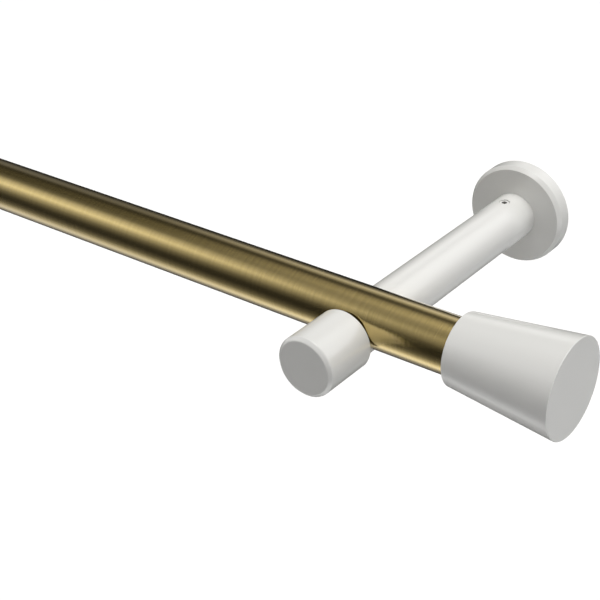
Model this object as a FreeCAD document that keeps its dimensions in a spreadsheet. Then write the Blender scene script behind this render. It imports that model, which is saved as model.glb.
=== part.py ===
"""Curtain rod: a round brass-coloured tube on two white wall brackets, with a cone finial on each end.

Frame, in millimetres: X runs along the rod, -Y points into the room and +Z is up. The origin lies in
the wall plane, midway between the two brackets, at the height of the bracket arms' axes.
"""

import FreeCAD, Part
import os
import Sketcher

doc = FreeCAD.newDocument("CurtainRod")
sheet = doc.addObject("Spreadsheet::Sheet", "Sizes")

# Driving sizes in millimetres: each is one thing that a maker could change alone
SIZES = (
    # The tube, and how far it reaches past each bracket into its finial
    ("rod_diameter", 20.0),
    ("rod_wall", 1.0),
    ("rod_length", 1200.0),
    ("rod_overhang", 60.0),
    # Where the rod lies: its axis out from the wall, and above the arms' axes
    ("rod_projection", 108.5),
    ("rod_rise", 5.0),
    ("rod_clearance", 0.1),
    # The round arm, its nose inside the cap, and its bore over the wall plate's spigot
    ("arm_diameter", 18.0),
    ("arm_nose", 12.0),
    ("arm_edge", 0.6),
    ("arm_bore_spare", 2.0),
    # The spigot that stands out of the wall plate
    ("spigot_diameter", 12.0),
    ("spigot_reach", 20.0),
    ("spigot_clearance", 0.1),
    ("spigot_tenon", 8.0),
    ("spigot_flat_depth", 0.4),
    ("spigot_flat_length", 8.0),
    # The wall plate and its two screw holes, one over the other
    ("plate_diameter", 35.0),
    ("plate_thickness", 2.5),
    ("plate_hole", 4.5),
    ("plate_hole_spacing", 24.0),
    # The round cover that hides the plate
    ("rosette_diameter", 40.0),
    ("rosette_depth", 7.0),
    ("rosette_wall", 1.5),
    ("rosette_edge", 1.2),
    ("rosette_edge_depth", 1.7),
    # Socket set screws: one on the arm's crown, one under the saddle, one under the finial
    ("screw_diameter", 4.0),
    ("screw_length", 3.0),
    ("screw_socket", 2.0),
    ("screw_socket_depth", 1.5),
    ("arm_screw_setback", 8.0),
    ("finial_screw_setback", 8.0),
    # The cap on the arm's nose, and the stud that holds it
    ("cap_diameter", 22.0),
    ("cap_length", 22.0),
    ("cap_edge", 1.2),
    ("cap_clearance", 0.1),
    ("stud_diameter", 6.0),
    ("stud_length", 15.0),
    ("stud_in_arm", 8.0),
    ("stud_spare", 0.8),
    # The cone finial, from its small end outward
    ("finial_start", 39.5),
    ("finial_length", 39.5),
    ("finial_small", 25.5),
    ("finial_large", 34.2),
    ("finial_clearance", 0.1),
)

for row, (name, value) in enumerate(SIZES, start=1):
    sheet.set("A" + str(row), name.replace("_", " "))
    sheet.set("B" + str(row), str(value))
    sheet.setAlias("B" + str(row), name)
doc.recompute()


# Places along the arm, out from the wall plane
ARM_BACK = "Sizes.rosette_depth"
BORE_END = "Sizes.rosette_depth + Sizes.spigot_reach + Sizes.arm_bore_spare"
ARM_SCREW_AT = "Sizes.rosette_depth + Sizes.arm_screw_setback"
ROD_FRONT = "Sizes.rod_projection + Sizes.rod_diameter / 2 + Sizes.rod_clearance"
NOSE_END = ROD_FRONT + " + Sizes.arm_nose"
CAP_FRONT = ROD_FRONT + " + Sizes.cap_length"
SPIGOT_BORE = "Sizes.spigot_diameter / 2 + Sizes.spigot_clearance"
SPIGOT_FLAT = "Sizes.spigot_diameter / 2 - Sizes.spigot_flat_depth"
SADDLE = "Sizes.rod_diameter / 2 + Sizes.rod_clearance"
SADDLE_RISE = "Sizes.rod_rise + Sizes.rod_clearance"
ROD_UNDER = "Sizes.rod_rise - Sizes.rod_diameter / 2"
ARM_X = "Sizes.rod_length / 2 - Sizes.rod_overhang"

# Local Z of a bracket piece points out of the wall, its local Y up
OUT_OF_WALL = FreeCAD.Rotation(FreeCAD.Vector(1, 0, 0), 90)
HEAD_UP = FreeCAD.Rotation()
HEAD_DOWN = FreeCAD.Rotation(FreeCAD.Vector(1, 0, 0), 180)
# Local Z of a finial points along the rod away from the brackets, its local X down
OUT_RIGHT = FreeCAD.Rotation(FreeCAD.Vector(0, 1, 0), 90)
OUT_LEFT = FreeCAD.Rotation(FreeCAD.Vector(0, 0, 1), 180).multiply(OUT_RIGHT)

bodies = []


def new_body(name, turn, at_x, at_y, at_z):
    """A piece of its own, turned and set in the common frame by the shared sizes."""
    body = doc.addObject("PartDesign::Body", name)
    body.Label = name
    body.Placement = FreeCAD.Placement(FreeCAD.Vector(), turn)
    body.setExpression("Placement.Base.x", at_x)
    body.setExpression("Placement.Base.y", at_y)
    body.setExpression("Placement.Base.z", at_z)
    bodies.append(body)
    return body


def new_sketch(body, name, plane):
    """A sketch on one of the piece's own origin planes."""
    sketch = body.newObject("Sketcher::SketchObject", body.Name + "_" + name)
    for feature in body.Origin.OriginFeatures:
        if feature.Role == plane:
            sketch.AttachmentSupport = [(feature, "")]
    sketch.MapMode = "FlatFace"
    return sketch


def pin_point(sketch, geometry, end, across, along):
    """Ties one point of a sketch to two sizes; the text 0 puts it on the axis itself."""
    if across == "0":
        sketch.addConstraint(Sketcher.Constraint("PointOnObject", geometry, end, -2))
    else:
        index = sketch.addConstraint(Sketcher.Constraint("DistanceX", -1, 1, geometry, end, 1.0))
        sketch.setExpression("Constraints[" + str(index) + "]", across)
    if along == "0":
        sketch.addConstraint(Sketcher.Constraint("PointOnObject", geometry, end, -1))
    else:
        index = sketch.addConstraint(Sketcher.Constraint("DistanceY", -1, 1, geometry, end, 1.0))
        sketch.setExpression("Constraints[" + str(index) + "]", along)


def draw_outline(sketch, corners):
    """A closed outline of straight edges, each corner tied to the sizes that place it."""
    count = len(corners)
    rough = []
    for number in range(count):
        turn = FreeCAD.Rotation(FreeCAD.Vector(0, 0, 1), 360.0 * number / count)
        rough.append(turn.multVec(FreeCAD.Vector(10, 0, 0)))
    for number in range(count):
        sketch.addGeometry(Part.LineSegment(rough[number], rough[(number + 1) % count]), False)
    for number in range(count):
        following = (number + 1) % count
        sketch.addConstraint(Sketcher.Constraint("Coincident", number, 2, following, 1))
    for number, (across, along) in enumerate(corners):
        pin_point(sketch, number, 1, across, along)


def draw_circle(sketch, across, along, radius):
    """A circle whose centre and radius are tied to sizes."""
    index = sketch.addGeometry(Part.Circle(FreeCAD.Vector(), FreeCAD.Vector(0, 0, 1), 1), False)
    pin_point(sketch, index, 3, across, along)
    rule = sketch.addConstraint(Sketcher.Constraint("Radius", index, 1.0))
    sketch.setExpression("Constraints[" + str(rule) + "]", radius)


def turn_solid(body, corners):
    """The solid that a lathe leaves: an outline turned once about the piece's own Z axis."""
    sketch = new_sketch(body, "profile", "XZ_Plane")
    draw_outline(sketch, corners)
    solid = body.newObject("PartDesign::Revolution", body.Name + "_turned")
    solid.Profile = sketch
    solid.ReferenceAxis = (sketch, ["V_Axis"])
    solid.Angle = 360.0
    doc.recompute()
    return solid


def cut_pocket(body, name, sketch, length, reverse=False, both_ways=False):
    """A straight cut from a sketch, checked to have taken material away."""
    before = body.Shape.Volume
    pocket = body.newObject("PartDesign::Pocket", body.Name + "_" + name)
    pocket.Profile = sketch
    pocket.Type = 0
    pocket.setExpression("Length", length)
    pocket.Reversed = reverse
    pocket.Midplane = both_ways
    doc.recompute()
    if not pocket.Shape.Volume < before - 0.01:
        raise RuntimeError(body.Label + ": the cut " + name + " takes nothing away")
    return pocket


def cut_socket(body, face_at):
    """The hexagon socket in the head of a set screw, whose face lies at face_at."""
    half = "Sizes.screw_socket / 2"
    corner = "Sizes.screw_socket / sqrt(3)"
    step = "Sizes.screw_socket / sqrt(12)"
    sketch = new_sketch(body, "socket", "XY_Plane")
    sketch.setExpression("AttachmentOffset.Base.z", face_at)
    draw_outline(
        sketch,
        (
            (corner, "0"),
            (step, half),
            ("-" + step, half),
            ("-" + corner, "0"),
            ("-" + step, "-" + half),
            (step, "-" + half),
        ),
    )
    cut_pocket(body, "hexagon", sketch, "Sizes.screw_socket_depth")


def make_rod():
    """The tube: one straight length, open at both ends, which end inside the finials."""
    body = new_body("rod_tube", FreeCAD.Rotation(), "0 mm", "-Sizes.rod_projection", "Sizes.rod_rise")
    sketch = new_sketch(body, "section", "YZ_Plane")
    draw_circle(sketch, "0", "0", "Sizes.rod_diameter / 2")
    draw_circle(sketch, "0", "0", "Sizes.rod_diameter / 2 - Sizes.rod_wall")
    tube = body.newObject("PartDesign::Pad", "rod_drawn")
    tube.Profile = sketch
    tube.setExpression("Length", "Sizes.rod_length")
    tube.Midplane = True
    doc.recompute()


def make_wall_plate(side, at_x):
    """The steel disc that is screwed to the wall, with a hole for the spigot's tenon."""
    body = new_body("wall_plate_" + side, OUT_OF_WALL, at_x, "0 mm", "0 mm")
    turn_solid(
        body,
        (
            ("Sizes.spigot_tenon / 2", "0"),
            ("Sizes.plate_diameter / 2", "0"),
            ("Sizes.plate_diameter / 2", "Sizes.plate_thickness"),
            ("Sizes.spigot_tenon / 2", "Sizes.plate_thickness"),
        ),
    )
    sketch = new_sketch(body, "holes", "XY_Plane")
    draw_circle(sketch, "0", "Sizes.plate_hole_spacing / 2", "Sizes.plate_hole / 2")
    draw_circle(sketch, "0", "-Sizes.plate_hole_spacing / 2", "Sizes.plate_hole / 2")
    cut_pocket(body, "screw_holes", sketch, "Sizes.plate_thickness", reverse=True)


def make_spigot(side, at_x):
    """The turned pin riveted into the wall plate, with a flat on top for the arm's set screw."""
    body = new_body("spigot_" + side, OUT_OF_WALL, at_x, "0 mm", "0 mm")
    outer = "Sizes.spigot_diameter / 2"
    tip = "Sizes.rosette_depth + Sizes.spigot_reach"
    turn_solid(
        body,
        (
            ("0", "0"),
            ("Sizes.spigot_tenon / 2", "0"),
            ("Sizes.spigot_tenon / 2", "Sizes.plate_thickness"),
            (outer, "Sizes.plate_thickness"),
            (outer, tip),
            ("0", tip),
        ),
    )
    sketch = new_sketch(body, "flat", "YZ_Plane")
    draw_outline(
        sketch,
        (
            (SPIGOT_FLAT, ARM_SCREW_AT + " - Sizes.spigot_flat_length / 2"),
            (outer + " + Sizes.spigot_flat_depth", ARM_SCREW_AT + " - Sizes.spigot_flat_length / 2"),
            (outer + " + Sizes.spigot_flat_depth", ARM_SCREW_AT + " + Sizes.spigot_flat_length / 2"),
            (SPIGOT_FLAT, ARM_SCREW_AT + " + Sizes.spigot_flat_length / 2"),
        ),
    )
    cut_pocket(body, "milled_flat", sketch, "2 * Sizes.spigot_diameter", both_ways=True)


def make_rosette(side, at_x):
    """The round cover: a shallow cup over the wall plate, with a bevel around its front."""
    body = new_body("rosette_" + side, OUT_OF_WALL, at_x, "0 mm", "0 mm")
    outer = "Sizes.rosette_diameter / 2"
    inner = outer + " - Sizes.rosette_wall"
    floor = "Sizes.rosette_depth - Sizes.rosette_wall"
    turn_solid(
        body,
        (
            (inner, "0"),
            (outer, "0"),
            (outer, "Sizes.rosette_depth - Sizes.rosette_edge_depth"),
            (outer + " - Sizes.rosette_edge", "Sizes.rosette_depth"),
            (SPIGOT_BORE, "Sizes.rosette_depth"),
            (SPIGOT_BORE, floor),
            (inner, floor),
        ),
    )


def make_arm(side, at_x):
    """The round arm: bored at the back, cut to an open saddle under the rod, drilled in its nose."""
    body = new_body("arm_" + side, OUT_OF_WALL, at_x, "0 mm", "0 mm")
    outer = "Sizes.arm_diameter / 2"
    stud_end = NOSE_END + " - Sizes.stud_in_arm - Sizes.stud_spare"
    turn_solid(
        body,
        (
            (SPIGOT_BORE, ARM_BACK),
            (outer, ARM_BACK),
            (outer, NOSE_END + " - Sizes.arm_edge"),
            (outer + " - Sizes.arm_edge", NOSE_END),
            ("Sizes.stud_diameter / 2", NOSE_END),
            ("Sizes.stud_diameter / 2", stud_end),
            ("0", stud_end),
            ("0", BORE_END),
            (SPIGOT_BORE, BORE_END),
        ),
    )
    across = "2 * Sizes.arm_diameter"
    sketch = new_sketch(body, "seat", "YZ_Plane")
    draw_circle(sketch, SADDLE_RISE, "Sizes.rod_projection", SADDLE)
    cut_pocket(body, "saddle_seat", sketch, across, both_ways=True)
    sketch = new_sketch(body, "mouth", "YZ_Plane")
    back = "Sizes.rod_projection - (" + SADDLE + ")"
    draw_outline(
        sketch,
        (
            (SADDLE_RISE, back),
            (SADDLE_RISE + " + Sizes.arm_diameter", back),
            (SADDLE_RISE + " + Sizes.arm_diameter", ROD_FRONT),
            (SADDLE_RISE, ROD_FRONT),
        ),
    )
    cut_pocket(body, "saddle_mouth", sketch, across, both_ways=True)
    sketch = new_sketch(body, "crown", "XZ_Plane")
    draw_circle(sketch, "0", ARM_SCREW_AT, "Sizes.screw_diameter / 2")
    cut_pocket(body, "crown_thread", sketch, "Sizes.arm_diameter")
    sketch = new_sketch(body, "belly", "XZ_Plane")
    draw_circle(sketch, "0", "Sizes.rod_projection", "Sizes.screw_diameter / 2")
    cut_pocket(body, "saddle_thread", sketch, "Sizes.arm_diameter", reverse=True)


def make_set_screw(name, turn, at_x, at_y, tip):
    """A short socket set screw with a flat point, its tip at the given height and its head outward."""
    body = new_body(name, turn, at_x, at_y, tip)
    radius = "Sizes.screw_diameter / 2"
    turn_solid(
        body,
        (
            ("0", "0"),
            (radius, "0"),
            (radius, "Sizes.screw_length"),
            ("0", "Sizes.screw_length"),
        ),
    )
    cut_socket(body, "Sizes.screw_length")


def make_cap(side, at_x):
    """The cap in front of the rod: a cup over the arm's nose, bevelled around its front face."""
    body = new_body("cap_" + side, OUT_OF_WALL, at_x, "0 mm", "0 mm")
    outer = "Sizes.cap_diameter / 2"
    bore = "Sizes.arm_diameter / 2 + Sizes.cap_clearance"
    stud_end = NOSE_END + " + Sizes.stud_length - Sizes.stud_in_arm + Sizes.stud_spare"
    turn_solid(
        body,
        (
            (bore, ROD_FRONT),
            (outer, ROD_FRONT),
            (outer, CAP_FRONT + " - Sizes.cap_edge"),
            (outer + " - Sizes.cap_edge", CAP_FRONT),
            ("0", CAP_FRONT),
            ("0", stud_end),
            ("Sizes.stud_diameter / 2", stud_end),
            ("Sizes.stud_diameter / 2", NOSE_END),
            (bore, NOSE_END),
        ),
    )


def make_stud(side, at_x):
    """The threaded stud between the arm's nose and the cap."""
    out = "-(" + NOSE_END + " - Sizes.stud_in_arm)"
    body = new_body("cap_stud_" + side, OUT_OF_WALL, at_x, out, "0 mm")
    radius = "Sizes.stud_diameter / 2"
    turn_solid(
        body,
        (
            ("0", "0"),
            (radius, "0"),
            (radius, "Sizes.stud_length"),
            ("0", "Sizes.stud_length"),
        ),
    )


def make_finial(side, turn, at_x):
    """The cone on the rod's end: a blind socket over the tube, and a thread in its underside."""
    body = new_body("finial_" + side, turn, at_x, "-Sizes.rod_projection", "Sizes.rod_rise")
    socket = "Sizes.rod_diameter / 2 + Sizes.finial_clearance"
    floor = "Sizes.rod_overhang - Sizes.finial_start"
    turn_solid(
        body,
        (
            (socket, "0"),
            ("Sizes.finial_small / 2", "0"),
            ("Sizes.finial_large / 2", "Sizes.finial_length"),
            ("0", "Sizes.finial_length"),
            ("0", floor),
            (socket, floor),
        ),
    )
    sketch = new_sketch(body, "underside", "YZ_Plane")
    draw_circle(sketch, "0", "Sizes.finial_screw_setback", "Sizes.screw_diameter / 2")
    cut_pocket(body, "finial_thread", sketch, "Sizes.finial_large", reverse=True)


make_rod()
for side, sign, outward in (("left", "-", OUT_LEFT), ("right", "", OUT_RIGHT)):
    arm_x = sign + "(" + ARM_X + ")"
    finial_x = sign + "(" + ARM_X + " + Sizes.finial_start)"
    screw_x = sign + "(" + ARM_X + " + Sizes.finial_start + Sizes.finial_screw_setback)"
    make_wall_plate(side, arm_x)
    make_spigot(side, arm_x)
    make_rosette(side, arm_x)
    make_arm(side, arm_x)
    make_set_screw("arm_screw_" + side, HEAD_UP, arm_x, "-(" + ARM_SCREW_AT + ")", SPIGOT_FLAT)
    make_set_screw("saddle_screw_" + side, HEAD_DOWN, arm_x, "-Sizes.rod_projection", ROD_UNDER)
    make_cap(side, arm_x)
    make_stud(side, arm_x)
    make_finial(side, outward, finial_x)
    make_set_screw("finial_screw_" + side, HEAD_DOWN, screw_x, "-Sizes.rod_projection", ROD_UNDER)

doc.recompute()
for item in doc.Objects:
    if "Invalid" in item.State or "Error" in item.State:
        raise RuntimeError(item.Label + " didn't compute: " + str(item.State))
for body in bodies:
    if body.Shape.isNull() or not body.Shape.isValid():
        raise RuntimeError(body.Label + " has no sound shape")
    if len(body.Shape.Solids) != 1:
        raise RuntimeError(body.Label + " isn't one solid")

os.makedirs("parts", exist_ok=True)
for body in bodies:
    body.Shape.exportStep("parts/" + body.Label + ".step")
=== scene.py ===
import math

import bmesh
import bpy
import mathutils
import numpy as np
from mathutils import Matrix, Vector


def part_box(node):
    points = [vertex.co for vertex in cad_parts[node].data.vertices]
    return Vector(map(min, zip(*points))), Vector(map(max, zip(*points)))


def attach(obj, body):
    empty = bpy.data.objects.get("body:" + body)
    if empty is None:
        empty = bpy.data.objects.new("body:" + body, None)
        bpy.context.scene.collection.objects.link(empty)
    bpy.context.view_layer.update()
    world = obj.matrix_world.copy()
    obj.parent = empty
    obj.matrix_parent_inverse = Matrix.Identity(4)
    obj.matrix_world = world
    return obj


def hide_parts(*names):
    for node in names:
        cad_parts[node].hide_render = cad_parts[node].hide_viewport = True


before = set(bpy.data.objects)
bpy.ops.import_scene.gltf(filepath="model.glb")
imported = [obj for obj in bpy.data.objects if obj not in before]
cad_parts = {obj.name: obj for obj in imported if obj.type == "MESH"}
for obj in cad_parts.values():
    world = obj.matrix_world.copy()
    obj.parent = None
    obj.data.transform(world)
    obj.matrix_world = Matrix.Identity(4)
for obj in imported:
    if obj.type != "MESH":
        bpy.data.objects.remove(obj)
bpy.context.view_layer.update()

# The rod: one length of drawn brass tube, 20 mm across with a 1 mm wall and sawn ends. It was
# brushed while it turned, so the fine marks run round it, then darkened to an antique tone and
# lacquered.
TUBE_SIDES = 256  # flat facets round the tube, too many for its outline to show
TUBE_WALL = 0.001
SAWN_EDGE = 0.00015  # the sawn ends have no sharp burr
SHARP_TURN = 35  # degrees between two faces, from which their edge shows
SAME_POINT = 1e-7  # points that lie closer together are one
BRASS = "#DCC482"
BRASS_DARK = "#C4AC68"
BRUSH_PITCH = 0.0006  # real brush marks lie about 0.15 mm apart; four times that shows here
BRUSH_RUN = 0.012  # how far one mark runs round the tube
BRUSH_DEPTH = 0.0001
QUARTER_TURN = 0.25  # across the tangent, which lays a highlight out along the rod


def linear(colour):
    """The linear red, green, blue and alpha of an sRGB hex colour such as #CDB87E."""
    values = np.array([int(colour[i : i + 2], 16) for i in (1, 3, 5)]) / 255
    values = np.where(values <= 0.04045, values / 12.92, ((values + 0.055) / 1.055) ** 2.4)
    return (*values.tolist(), 1.0)


def rounded(outline, radii, steps=6):
    """The closed outline of a turned piece, with an arc in place of each corner.

    At corner c, with unit vectors p and q to its neighbours and half their angle h, the arc
    has its centre at c + (p + q) / |p + q| * radius / sin(h) and starts and ends
    radius / tan(h) from c. Its points are a turn from the start to the end about the centre.
    One more point on each side, half a radius further on, keeps the long faces flat to the eye.
    """
    corner = np.array(outline, float)
    radius = np.broadcast_to(np.array(radii, float), len(corner))[:, None]
    p = np.roll(corner, 1, axis=0) - corner
    q = np.roll(corner, -1, axis=0) - corner
    p /= np.linalg.norm(p, axis=1, keepdims=True)
    q /= np.linalg.norm(q, axis=1, keepdims=True)
    middle = p + q
    middle /= np.linalg.norm(middle, axis=1, keepdims=True)
    half = np.arccos(np.clip((p * middle).sum(axis=1), -1, 1))[:, None]
    reach = radius / np.tan(half)
    centre = corner + middle * radius / np.sin(half)
    start = corner + p * reach - centre
    end = corner + q * reach - centre
    turn = math.pi - 2 * half
    share = np.linspace(0, 1, steps + 1)[None, :, None]
    arc = np.sin((1 - share) * turn[:, None]) * start[:, None]
    arc = arc + np.sin(share * turn[:, None]) * end[:, None]
    arc = centre[:, None] + arc / np.sin(turn)[:, None]
    before = (corner + p * (reach + radius / 2))[:, None]
    after = (corner + q * (reach + radius / 2))[:, None]
    return np.concatenate((before, arc, after), axis=1).reshape(-1, 2)


def turned(name, profile, foot, axis, sides=192):
    """A turned piece: its closed profile of (radius r, height a) carried round an axis.

    The surface is P(i, j) = foot + a_i * axis + r_i * (cos t_j * u + sin t_j * v), where
    t_j = 2 pi j / sides and u, v and the axis are square to each other. The profile goes up
    the outside, so that the faces point outwards. Points that fall together are merged.
    """
    axis = np.array(axis, float)
    u = np.roll(axis, 1)
    v = np.cross(axis, u)
    t = np.linspace(0, 2 * math.pi, sides, endpoint=False)
    spoke = np.cos(t)[:, None] * u + np.sin(t)[:, None] * v
    points = np.array(foot) + profile[:, 1, None, None] * axis + profile[:, 0, None, None] * spoke
    rows = np.arange(len(profile))[:, None]
    next_rows = np.roll(rows, -1)
    columns = np.arange(sides)[None, :]
    next_columns = np.roll(columns, -1)
    faces = (
        rows * sides + columns,
        rows * sides + next_columns,
        next_rows * sides + next_columns,
        next_rows * sides + columns,
    )
    faces = np.stack(np.broadcast_arrays(*faces), axis=-1).reshape(-1, 4)
    mesh = bpy.data.meshes.new(name)
    mesh.from_pydata(points.reshape(-1, 3), [], faces)
    joined = bmesh.new()
    joined.from_mesh(mesh)
    bmesh.ops.remove_doubles(joined, verts=joined.verts, dist=SAME_POINT)
    joined.to_mesh(mesh)
    joined.free()
    mesh.shade_smooth()
    mesh.set_sharp_from_angle(angle=math.radians(SHARP_TURN))
    piece = bpy.data.objects.new(name, mesh)
    bpy.context.scene.collection.objects.link(piece)
    return piece


def add_node(tree, kind, inputs=None, **settings):
    """Adds a node, sets its properties, and gives its inputs their values or links."""
    node = tree.nodes.new(kind)
    for key, value in settings.items():
        setattr(node, key, value)
    for key, value in (inputs or {}).items():
        if isinstance(value, bpy.types.NodeSocket):
            tree.links.new(value, node.inputs[key])
        else:
            node.inputs[key].default_value = value
    return node


def empty_material(name):
    """A new material with no nodes yet, and its node tree."""
    material = bpy.data.materials.new(name)
    material.use_nodes = True
    material.node_tree.nodes.clear()
    return material, material.node_tree


low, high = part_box("rod_tube")
tube_radius = (high.z - low.z) / 2
tube_outline = (
    (tube_radius - TUBE_WALL, 0),
    (tube_radius, 0),
    (tube_radius, high.x - low.x),
    (tube_radius - TUBE_WALL, high.x - low.x),
)
tube_foot = (low.x, (low.y + high.y) / 2, (low.z + high.z) / 2)
tube = turned("brushed_tube", rounded(tube_outline, SAWN_EDGE), tube_foot, (1, 0, 0), TUBE_SIDES)

# Antique brass, brushed round and lacquered: a dark yellow metal with a satin shine. The brush
# marks draw each reflection out along the rod and break it into hairlines round it.
antique_brass, tree = empty_material("antique_brass_brushed_and_lacquered")
place = add_node(tree, "ShaderNodeTexCoord")
along_marks = add_node(
    tree,
    "ShaderNodeMapping",
    {"Vector": place.outputs["Object"], "Scale": (1 / BRUSH_PITCH, 1 / BRUSH_RUN, 1 / BRUSH_RUN)},
)
marks = add_node(
    tree,
    "ShaderNodeTexNoise",
    {"Vector": along_marks.outputs["Vector"], "Scale": 1.0, "Detail": 2.0, "Roughness": 0.6},
)
tone = add_node(
    tree,
    "ShaderNodeMix",
    {"Factor": marks.outputs["Fac"], "A": linear(BRASS_DARK), "B": linear(BRASS)},
    data_type="RGBA",
)
mark_depth = add_node(
    tree,
    "ShaderNodeBump",
    {"Height": marks.outputs["Fac"], "Strength": 0.4, "Distance": BRUSH_DEPTH},
)
around = add_node(tree, "ShaderNodeTangent", direction_type="RADIAL", axis="X")
brass = add_node(
    tree,
    "ShaderNodeBsdfPrincipled",
    {
        "Base Color": tone.outputs["Result"],
        "Metallic": 1.0,
        "Roughness": 0.2,
        "Anisotropic": 0.7,
        "Anisotropic Rotation": QUARTER_TURN,
        "Coat Weight": 1.0,
        "Coat Roughness": 0.1,
        "Coat IOR": 1.5,
        "Tangent": around.outputs["Tangent"],
        "Normal": mark_depth.outputs["Normal"],
    },
)
add_node(tree, "ShaderNodeOutputMaterial", {"Surface": brass.outputs["BSDF"]})
tube.data.materials.append(antique_brass)
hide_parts("rod_tube")
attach(tube, "root")

# The two arms: round aluminium bar, 18 mm across, turned, cut to an open saddle under the rod and
# drilled for the set screws, then powder coated white. The coat covers everything that shows.
WHITE = "#EDEDEB"
PEEL_GRAIN = 0.0012  # the ripple that a powder coat sets with is about a millimetre across
PEEL_DEPTH = 0.0002

# White powder coat, satin: an even skin of hard plastic that mirrors softly, over a faint ripple.
powder_coat, tree = empty_material("white_powder_coat_satin")
place = add_node(tree, "ShaderNodeTexCoord")
peel = add_node(
    tree,
    "ShaderNodeTexNoise",
    {"Vector": place.outputs["Object"], "Scale": 1 / PEEL_GRAIN, "Detail": 1.0},
)
peel_depth = add_node(
    tree,
    "ShaderNodeBump",
    {"Height": peel.outputs["Fac"], "Strength": 0.04, "Distance": PEEL_DEPTH},
)
coat = add_node(
    tree,
    "ShaderNodeBsdfPrincipled",
    {
        "Base Color": linear(WHITE),
        "Roughness": 0.16,
        "IOR": 1.8,
        "Normal": peel_depth.outputs["Normal"],
    },
)
add_node(tree, "ShaderNodeOutputMaterial", {"Surface": coat.outputs["BSDF"]})
for side in ("left", "right"):
    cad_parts["arm_" + side].material_slots[0].material = powder_coat

# The caps: turned cups, 22 mm across and 22 mm long, that screw down on the arms' noses and close
# the saddles in front of the rod. The front edge has a small bevel, which the coat softens. The
# back, which faces the rod, is coloured near black as painted shade for the dark gap where the cap
# meets the rod.
CAP_BEVEL = 0.0012
CAP_BORE = 0.0091
CAP_FLOOR = 0.010  # from the front face back to the floor of the bore
CAP_STUD_HOLE = 0.003
CAP_STUD_DEPTH = 0.0078
COAT_EDGE = 0.0004  # an edge under powder coat comes out this round
STRAIGHT_BACK = 0.9  # how much of a face's normal lies along +Y where it faces the rod
# The near black of painted shade, for the shadowed gap between the cap's back and the rod
GAP_SHADE_COLOUR = "#2E2D2C"

# Painted shade: a matt, near black colour on the cap's back, which draws the thin dark line of
# shade where the cap meets the rod.
gap_shade_material, tree = empty_material("painted_gap_shade")
gap_shade = add_node(
    tree,
    "ShaderNodeBsdfPrincipled",
    {"Base Color": linear(GAP_SHADE_COLOUR), "Roughness": 0.6},
)
add_node(tree, "ShaderNodeOutputMaterial", {"Surface": gap_shade.outputs["BSDF"]})

for side in ("left", "right"):
    low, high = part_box("cap_" + side)
    cap_radius = (high.x - low.x) / 2
    cap_length = high.y - low.y
    cap_outline = (
        (CAP_BORE, 0),
        (cap_radius, 0),
        (cap_radius, cap_length - CAP_BEVEL),
        (cap_radius - CAP_BEVEL, cap_length),
        (0, cap_length),
        (0, cap_length - CAP_FLOOR + CAP_STUD_DEPTH),
        (CAP_STUD_HOLE, cap_length - CAP_FLOOR + CAP_STUD_DEPTH),
        (CAP_STUD_HOLE, cap_length - CAP_FLOOR),
        (CAP_BORE, cap_length - CAP_FLOOR),
    )
    cap_edges = (0, COAT_EDGE, 2 * COAT_EDGE, 2 * COAT_EDGE, 0, 0, 0, 0, 0)
    foot = ((low.x + high.x) / 2, high.y, (low.z + high.z) / 2)
    cap = turned("coated_cap_" + side, rounded(cap_outline, cap_edges), foot, (0, -1, 0))
    cap.data.materials.append(powder_coat)
    cap.data.materials.append(gap_shade_material)
    normals = np.empty(3 * len(cap.data.polygons), np.float32)
    cap.data.polygons.foreach_get("normal", normals)
    # The faces towards the rod get the near black of painted shade.
    faces_rod_painted_shade = normals[1::3] > STRAIGHT_BACK
    cap.data.polygons.foreach_set("material_index", faces_rod_painted_shade.astype(np.int32))
    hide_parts("cap_" + side)
    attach(cap, "root")

# The finials: solid cones, turned and powder coated like the arms, pushed over the rod's ends up
# to a blind floor and held by a set screw in a hole drilled from below. Their edges are crisp.
FINIAL_SMALL = 0.01275
FINIAL_SOCKET = 0.0101
FINIAL_SOCKET_DEPTH = 0.0205
FINIAL_EDGE = 0.00025
FINIAL_SIDES = 256
SCREW_HOLE = 0.002
DRILL_SIDES = 48


def drilled(piece, foot, axis, radius, length):
    """Takes a round hole out of a piece: it is cut with a turned rod, which is then removed."""
    outline = np.array(((radius, 0), (radius, length), (0, length), (0, 0)))
    drill = turned("drill", outline, foot, axis, DRILL_SIDES)
    cut = piece.modifiers.new("hole", "BOOLEAN")
    cut.operation = "DIFFERENCE"
    cut.solver = "EXACT"
    cut.object = drill
    shapes = bpy.context.evaluated_depsgraph_get()
    piece.data = bpy.data.meshes.new_from_object(piece.evaluated_get(shapes))
    piece.modifiers.clear()
    bpy.data.objects.remove(drill)


for side, outward in (("left", -1), ("right", 1)):
    low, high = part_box("finial_" + side)
    finial_length = high.x - low.x
    finial_outline = (
        (FINIAL_SOCKET, 0),
        (FINIAL_SMALL, 0),
        ((high.z - low.z) / 2, finial_length),
        (0, finial_length),
        (0, FINIAL_SOCKET_DEPTH),
        (FINIAL_SOCKET, FINIAL_SOCKET_DEPTH),
    )
    foot = (low.x if outward > 0 else high.x, (low.y + high.y) / 2, (low.z + high.z) / 2)
    profile = rounded(finial_outline, (0, FINIAL_EDGE, FINIAL_EDGE, 0, 0, 0))
    finial = turned("coated_finial_" + side, profile, foot, (outward, 0, 0), FINIAL_SIDES)
    screw_low, screw_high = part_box("finial_screw_" + side)
    hole_foot = ((screw_low.x + screw_high.x) / 2, foot[1], foot[2])
    drilled(finial, hole_foot, (0, 0, -1), SCREW_HOLE, high.z - low.z)
    finial.data.materials.append(powder_coat)
    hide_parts("finial_" + side)
    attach(finial, "root")

# The rosettes: shallow turned cups, 40 mm across, powder coated like the arms, whose back ends
# hold them to the wall over the plates and their screws. A bevel runs round the front edge.
ROSETTE_WALL = 0.0015
ROSETTE_BEVEL = 0.0012
ROSETTE_BEVEL_DEPTH = 0.0017
ROSETTE_HOLE = 0.0061
ROSETTE_SIDES = 256

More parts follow.
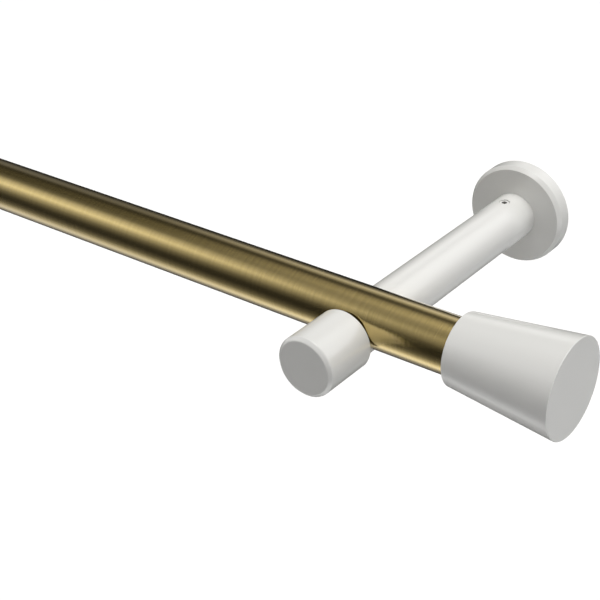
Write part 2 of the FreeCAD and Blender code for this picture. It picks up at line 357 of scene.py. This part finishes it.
for side in ("left", "right"):
    low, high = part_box("rosette_" + side)
    rosette_radius = (high.x - low.x) / 2
    rosette_depth = high.y - low.y
    rosette_outline = (
        (rosette_radius - ROSETTE_WALL, 0),
        (rosette_radius, 0),
        (rosette_radius, rosette_depth - ROSETTE_BEVEL_DEPTH),
        (rosette_radius - ROSETTE_BEVEL, rosette_depth),
        (ROSETTE_HOLE, rosette_depth),
        (ROSETTE_HOLE, rosette_depth - ROSETTE_WALL),
        (rosette_radius - ROSETTE_WALL, rosette_depth - ROSETTE_WALL),
    )
    rosette_edges = (0, COAT_EDGE / 2, COAT_EDGE / 2, COAT_EDGE / 2, 0, 0, 0)
    foot = ((low.x + high.x) / 2, high.y, (low.z + high.z) / 2)
    profile = rounded(rosette_outline, rosette_edges)
    rosette = turned("coated_rosette_" + side, profile, foot, (0, -1, 0), ROSETTE_SIDES)
    rosette.data.materials.append(powder_coat)
    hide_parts("rosette_" + side)
    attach(rosette, "root")

# The wall plates and spigots: a steel disc with two screw holes, and a turned steel pin riveted
# into it that carries the arm. Both are zinc plated and sit out of sight in the rosette.
ZINC = "#C3C6C9"
SPANGLE = 0.004  # the faint clouds in zinc plate are a few millimetres across
ZINC_ROUGHNESS = (0.42, 0.58)  # from the brightest cloud to the dullest

zinc_plate, tree = empty_material("zinc_plated_steel")
place = add_node(tree, "ShaderNodeTexCoord")
clouds = add_node(
    tree,
    "ShaderNodeTexNoise",
    {"Vector": place.outputs["Object"], "Scale": 1 / SPANGLE, "Detail": 2.0},
)
dulling = add_node(
    tree,
    "ShaderNodeMapRange",
    {"Value": clouds.outputs["Fac"], "To Min": ZINC_ROUGHNESS[0], "To Max": ZINC_ROUGHNESS[1]},
)
# Zinc plate is a bed of small crystals: half its light is scattered, so it is grey from all sides.
zinc = add_node(
    tree,
    "ShaderNodeBsdfPrincipled",
    {"Base Color": linear(ZINC), "Metallic": 0.5, "Roughness": dulling.outputs["Result"]},
)
add_node(tree, "ShaderNodeOutputMaterial", {"Surface": zinc.outputs["BSDF"]})
for part in ("wall_plate_", "spigot_"):
    for side in ("left", "right"):
        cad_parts[part + side].material_slots[0].material = zinc_plate

# The screws: M4 socket set screws and the M6 studs in the caps, of zinc plated steel. The one on
# each arm's crown was coated with its arm, so its rim is as white as the arm about it.
SCREW_STEEL = "#A9ABAD"

# Zinc plated steel, turned and tumbled: a plain grey metal with a soft shine.
screw_steel, tree = empty_material("steel_set_screw")
steel = add_node(
    tree,
    "ShaderNodeBsdfPrincipled",
    {"Base Color": linear(SCREW_STEEL), "Metallic": 1.0, "Roughness": 0.35},
)
add_node(tree, "ShaderNodeOutputMaterial", {"Surface": steel.outputs["BSDF"]})
for part in ("saddle_screw_", "finial_screw_", "cap_stud_"):
    for side in ("left", "right"):
        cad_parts[part + side].material_slots[0].material = screw_steel

# The coat only reaches a crown screw's face. Its socket is bare steel, and that grey also serves as
# painted shade for the hollow; a thin grey ring round the face is painted shade for the gap between
# the screw and its hole.
# Bare steel grey, which also serves as painted shade in the socket and in the ring round the face
BARE_STEEL_AND_SHADE = "#A8A7A2"
SHADE_RING = 0.00022  # how wide the ring of painted shade is
FACE_SKIN = 0.00006  # how far below the face the coat ends

# Each point's offset from the middle of a screw's face. Absolute coordinates lay the left screw
# over the right one and turn y positive.
low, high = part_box("arm_screw_right")
screw_face_and_shade, tree = empty_material("set_screw_face_with_painted_shade")
place = add_node(tree, "ShaderNodeTexCoord")
mirrored = add_node(
    tree, "ShaderNodeVectorMath", {0: place.outputs["Object"]}, operation="ABSOLUTE"
)
from_axis = add_node(
    tree,
    "ShaderNodeVectorMath",
    {0: mirrored.outputs["Vector"], 1: ((low.x + high.x) / 2, -(low.y + high.y) / 2, high.z)},
    operation="SUBTRACT",
)
flat = add_node(
    tree,
    "ShaderNodeVectorMath",
    {0: from_axis.outputs["Vector"], 1: (1.0, 1.0, 0.0)},
    operation="MULTIPLY",
)
off_axis = add_node(tree, "ShaderNodeVectorMath", {0: flat.outputs["Vector"]}, operation="LENGTH")
inside_ring = add_node(
    tree,
    "ShaderNodeMath",
    {0: off_axis.outputs["Value"], 1: (high.x - low.x) / 2 - SHADE_RING},
    operation="LESS_THAN",
)
below_face = add_node(tree, "ShaderNodeSeparateXYZ", {"Vector": from_axis.outputs["Vector"]})
on_face = add_node(
    tree,
    "ShaderNodeMath",
    {0: below_face.outputs["Z"], 1: -FACE_SKIN},
    operation="GREATER_THAN",
)
coated = add_node(
    tree,
    "ShaderNodeMath",
    {0: inside_ring.outputs["Value"], 1: on_face.outputs["Value"]},
    operation="MULTIPLY",
)
# Painted shade: the socket and the ring round the face take the darker grey.
tone = add_node(
    tree,
    "ShaderNodeMix",
    {"Factor": coated.outputs["Value"], "A": linear(BARE_STEEL_AND_SHADE), "B": linear(WHITE)},
    data_type="RGBA",
)
screw_face = add_node(
    tree,
    "ShaderNodeBsdfPrincipled",
    {"Base Color": tone.outputs["Result"], "Roughness": 0.3},
)
add_node(tree, "ShaderNodeOutputMaterial", {"Surface": screw_face.outputs["BSDF"]})
for side in ("left", "right"):
    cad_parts["arm_screw_" + side].material_slots[0].material = screw_face_and_shade

# The surround: a white studio with no corners, as bright as paper to the camera and in the metal.
# It lights the object far less than it shows, and more from the room and from above.
PURE_WHITE = (1.0, 1.0, 1.0, 1.0)
AMBIENT = 0.122  # the surround's light level with the object
AMBIENT_SLOPE = (0.04, -0.11, 0.235)  # it grows to the room and upwards


def white_to_viewer(tree, elsewhere, white):
    """One strength for most rays, and another for those from the camera or off metal and glass."""
    path = add_node(tree, "ShaderNodeLightPath")
    seen = add_node(
        tree,
        "ShaderNodeMath",
        {0: path.outputs["Is Camera Ray"], 1: path.outputs["Is Glossy Ray"]},
        operation="MAXIMUM",
    )
    seen = add_node(
        tree,
        "ShaderNodeMath",
        {0: seen.outputs["Value"], 1: path.outputs["Is Transmission Ray"]},
        operation="MAXIMUM",
    )
    strength = add_node(
        tree, "ShaderNodeMix", {"Factor": seen.outputs["Value"], "A": elsewhere, "B": white}
    )
    return strength.outputs["Result"]


world = bpy.data.worlds.new("white_studio")
bpy.context.scene.world = world
world.use_nodes = True
tree = world.node_tree
tree.nodes.clear()
sky = add_node(tree, "ShaderNodeTexCoord")
growth = add_node(
    tree,
    "ShaderNodeVectorMath",
    {0: sky.outputs["Generated"], 1: AMBIENT_SLOPE},
    operation="DOT_PRODUCT",
)
ambient = add_node(
    tree,
    "ShaderNodeMath",
    {0: growth.outputs["Value"], 1: AMBIENT},
    operation="ADD",
    use_clamp=True,
)
surround = add_node(
    tree,
    "ShaderNodeBackground",
    {
        "Color": PURE_WHITE,
        "Strength": white_to_viewer(tree, ambient.outputs["Value"], 1.0),
    },
)
add_node(tree, "ShaderNodeOutputWorld", {"Surface": surround.outputs["Background"]})

# The floor: a matt pale sheet, half a metre below the rod. What light it lacks to look as white as
# the surround, it gives to the camera alone.
FLOOR_DROP = 0.55
FLOOR_HALF_SIDE = 8.0
FLOOR_TONE = "#B8B8B8"
FLOOR_GLOW = 0.57  # what the lit floor lacks to be as white as the surround

floor_corners = FLOOR_HALF_SIDE * np.array(((-1, -1), (1, -1), (1, 1), (-1, 1)))
floor_points = np.column_stack((floor_corners, np.full(4, -FLOOR_DROP)))
floor_mesh = bpy.data.meshes.new("floor")
floor_mesh.from_pydata(floor_points, [], ((0, 1, 2, 3),))
floor = bpy.data.objects.new("floor", floor_mesh)
bpy.context.scene.collection.objects.link(floor)
pale_floor, tree = empty_material("pale_floor")
matt = add_node(tree, "ShaderNodeBsdfDiffuse", {"Color": linear(FLOOR_TONE)})
glow = add_node(
    tree,
    "ShaderNodeEmission",
    {"Color": PURE_WHITE, "Strength": white_to_viewer(tree, 0.0, FLOOR_GLOW)},
)
both = add_node(tree, "ShaderNodeAddShader", {0: matt.outputs["BSDF"], 1: glow.outputs["Emission"]})
add_node(tree, "ShaderNodeOutputMaterial", {"Surface": both.outputs["Shader"]})
floor_mesh.materials.append(pale_floor)

# The card: a sheet bent right round the rod, half a metre off, that glows by its own light in
# graded greys, a painted set of bright and dark bands. Only reflections show it, and its greys are
# what gives a shiny tube its bands.
CARD_RADIUS = 0.5
CARD_HALF_LENGTH = 3.0
CARD_EDGES = 64  # the straight edges along the rod, with a flat strip between each two
# Where along the rod each column of the next table holds, from and to
CARD_COLUMNS = ((-3.0, 0.03), (0.32, 0.36), (0.45, 0.48), (0.60, 3.0))
# Angles round the rod in degrees, 0 towards the room and 90 overhead, and the card's brightness
# in each column
CARD_BANDS = (
    (-96, 0.34, 0.30, 0.40, 0.40),
    (-88, 0.64, 0.60, 0.80, 1.00),
    (-81, 0.90, 1.22, 1.30, 1.50),
    (-72, 0.88, 1.32, 1.32, 1.55),
    (-65, 0.68, 0.90, 1.00, 1.40),
    (-59, 0.48, 0.56, 0.70, 1.00),
    (-53, 0.33, 0.36, 0.34, 0.34),
    (-45, 0.16, 0.16, 0.14, 0.14),
    (-37, 0.10, 0.10, 0.08, 0.08),
    (-21, 0.03, 0.03, 0.03, 0.03),
    (-5, 0.06, 0.02, 0.03, 0.03),
    (11, 0.20, 0.08, 0.10, 0.10),
    (27, 0.55, 0.25, 0.30, 0.30),
    (43, 1.20, 0.38, 0.42, 0.42),
    (60, 0.74, 0.25, 0.40, 0.40),
    (76, 0.17, 0.38, 0.46, 0.50),
    (92, 0.02, 0.37, 0.48, 0.50),
    (109, 0.02, 0.26, 0.28, 0.40),
    (122, 0.01, 0.05, 0.10, 0.90),
    (130, 0.03, 0.10, 0.20, 0.95),
    (139, 0.16, 0.52, 0.32, 1.20),
    (150, 0.18, 0.94, 0.42, 1.20),
    (160, 0.13, 0.32, 0.26, 0.60),
    (168, 0.05, 0.08, 0.06, 0.20),
    (180, 0.02, 0.02, 0.02, 0.02),
    (204, 0.02, 0.02, 0.02, 0.02),
    (214, 0.02, 0.02, 0.02, 0.34),
    (228, 0.02, 0.02, 0.02, 0.34),
    (238, 0.06, 0.06, 0.06, 0.10),
    (246, 0.12, 0.12, 0.12, 0.12),
    (258, 0.24, 0.24, 0.24, 0.24),
    (264, 0.34, 0.30, 0.40, 0.40),
)

# Its surface is P(i, j) = rod axis + radius * (0, -cos a_i, sin a_i) + x_j, with the angle's share
# of the whole bend as the first value of its UV map.
first, last = CARD_BANDS[0][0], CARD_BANDS[-1][0]
share, along = np.meshgrid(np.linspace(0, 1, CARD_EDGES), np.array((0.0, 1.0)), indexing="ij")
angle = np.radians(first + (last - first) * share)
card_points = np.stack(
    (
        (2 * along - 1) * CARD_HALF_LENGTH,
        tube_foot[1] - CARD_RADIUS * np.cos(angle),
        tube_foot[2] + CARD_RADIUS * np.sin(angle),
    ),
    axis=-1,
)
corner = np.arange(CARD_EDGES - 1) * 2
card_faces = np.stack((corner, corner + 1, corner + 3, corner + 2), axis=-1)
card_mesh = bpy.data.meshes.new("reflection_card")
card_mesh.from_pydata(card_points.reshape(-1, 3), [], card_faces)
card_uv = np.stack((share, along), axis=-1).reshape(-1, 2)
corner_vertex = np.empty(len(card_mesh.loops), np.int32)
card_mesh.loops.foreach_get("vertex_index", corner_vertex)
card_mesh.uv_layers.new(name="bend").data.foreach_set("uv", card_uv[corner_vertex].ravel())
card = bpy.data.objects.new("reflection_card", card_mesh)
bpy.context.scene.collection.objects.link(card)
card.visible_camera = False
card.visible_diffuse = False
card.visible_shadow = False
card.visible_transmission = False
graded_card, tree = empty_material("graded_card")
bend = add_node(tree, "ShaderNodeUVMap", uv_map="bend")
bend_parts = add_node(tree, "ShaderNodeSeparateXYZ", {"Vector": bend.outputs["UV"]})
place = add_node(tree, "ShaderNodeTexCoord")
place_parts = add_node(tree, "ShaderNodeSeparateXYZ", {"Vector": place.outputs["Object"]})
greys = []
for column in range(1, len(CARD_COLUMNS) + 1):
    ramp = add_node(tree, "ShaderNodeValToRGB", {"Fac": bend_parts.outputs["X"]})
    stops = ramp.color_ramp.elements
    for band in CARD_BANDS[1:-1]:
        stops.new((band[0] - first) / (last - first))
    for stop, band in zip(stops, CARD_BANDS):
        stop.color = (band[column], band[column], band[column], 1.0)
    greys.append(ramp.outputs["Color"])
grey = greys[0]
for before, after, next_grey in zip(CARD_COLUMNS, CARD_COLUMNS[1:], greys[1:]):
    here = add_node(
        tree,
        "ShaderNodeMapRange",
        {"Value": place_parts.outputs["X"], "From Min": before[1], "From Max": after[0]},
    )
    grey = add_node(
        tree,
        "ShaderNodeMix",
        {"Factor": here.outputs["Result"], "A": grey, "B": next_grey},
        data_type="RGBA",
    ).outputs["Result"]
# The card glows by its own light; it is no lamp and shows only in reflections.
glow = add_node(tree, "ShaderNodeEmission", {"Color": grey, "Strength": 1.0})
add_node(tree, "ShaderNodeOutputMaterial", {"Surface": glow.outputs["Emission"]})
card_mesh.materials.append(graded_card)

# The lamps: a broad soft one nearly overhead, and two weaker ones that lift what it leaves dark.
# One lies on the floor behind the wall plane, for the undersides. The other stands behind to the
# right, for the right-hand sides, which the rod shades on the cap.
KEY_FROM = (0.08, 0.02, 0.98)  # nearly straight above
KEY_STRENGTH = 2.15
KEY_TINT = (1.0, 0.985, 0.95)  # a touch warm
KEY_SPREAD = 30.0  # degrees across, for soft shadows
FLOOR_LAMP = {
    "place": (0.6, 0.9, -0.54),
    "aim": (0.6, 0.9, 0.0),
    "sides": (3.6, 1.9),
    "watts": 10.0,
    "tint": (0.96, 0.98, 1.0),
}
SIDE_LAMP = {
    "place": (2.0, 1.0, 0.39),
    "aim": (0.55, 0.05, 0.0),
    "sides": (1.2, 1.2),
    "watts": 6.6,
    "tint": (1.0, 1.0, 1.0),
}

# A sun lamp shines along its own -Z, so it is tipped from overhead and then swung round.
key = bpy.data.objects.new("key_lamp", bpy.data.lights.new("key_lamp", "SUN"))
bpy.context.scene.collection.objects.link(key)
key.data.energy = KEY_STRENGTH
key.data.color = KEY_TINT
key.data.angle = math.radians(KEY_SPREAD)
key.rotation_euler = (
    math.acos(KEY_FROM[2] / math.hypot(*KEY_FROM)),
    0.0,
    math.atan2(KEY_FROM[1], KEY_FROM[0]) + math.pi / 2,
)


def area_lamp(name, place, aim, sides, watts, tint):
    """A rectangular lamp turned towards a point. It lights, but is neither seen nor mirrored."""
    lamp = bpy.data.objects.new(name, bpy.data.lights.new(name, "AREA"))
    bpy.context.scene.collection.objects.link(lamp)
    lamp.data.shape = "RECTANGLE"
    lamp.data.size, lamp.data.size_y = sides
    lamp.data.energy = watts
    lamp.data.color = tint
    lamp.location = place
    beam = mathutils.Vector(aim) - mathutils.Vector(place)
    lamp.rotation_euler = beam.to_track_quat("-Z", "Y").to_euler()
    lamp.visible_camera = False
    lamp.visible_glossy = False


area_lamp("floor_lamp", **FLOOR_LAMP)
area_lamp("side_lamp", **SIDE_LAMP)

# The camera: to the right of the right-hand bracket, above it and in front of the rod, where the
# photograph was taken from, with a hint of roll.
SENSOR_WIDTH = 36.0  # millimetres, as is the lens
LENS = 77.283
NEAREST = 0.01
CAMERA_PLACE = (0.76007, -0.40923, 0.22669)
CAMERA_TURN = (59.894, 2.0555, 38.164)  # degrees about X, Y and Z

camera = bpy.data.objects.new("camera", bpy.data.cameras.new("camera"))
bpy.context.scene.collection.objects.link(camera)
camera.data.sensor_width = SENSOR_WIDTH
camera.data.lens = LENS
camera.data.clip_start = NEAREST
camera.location = CAMERA_PLACE
camera.rotation_euler = [math.radians(angle) for angle in CAMERA_TURN]
bpy.context.scene.camera = camera

bpy.context.scene.view_settings.view_transform = "Standard"
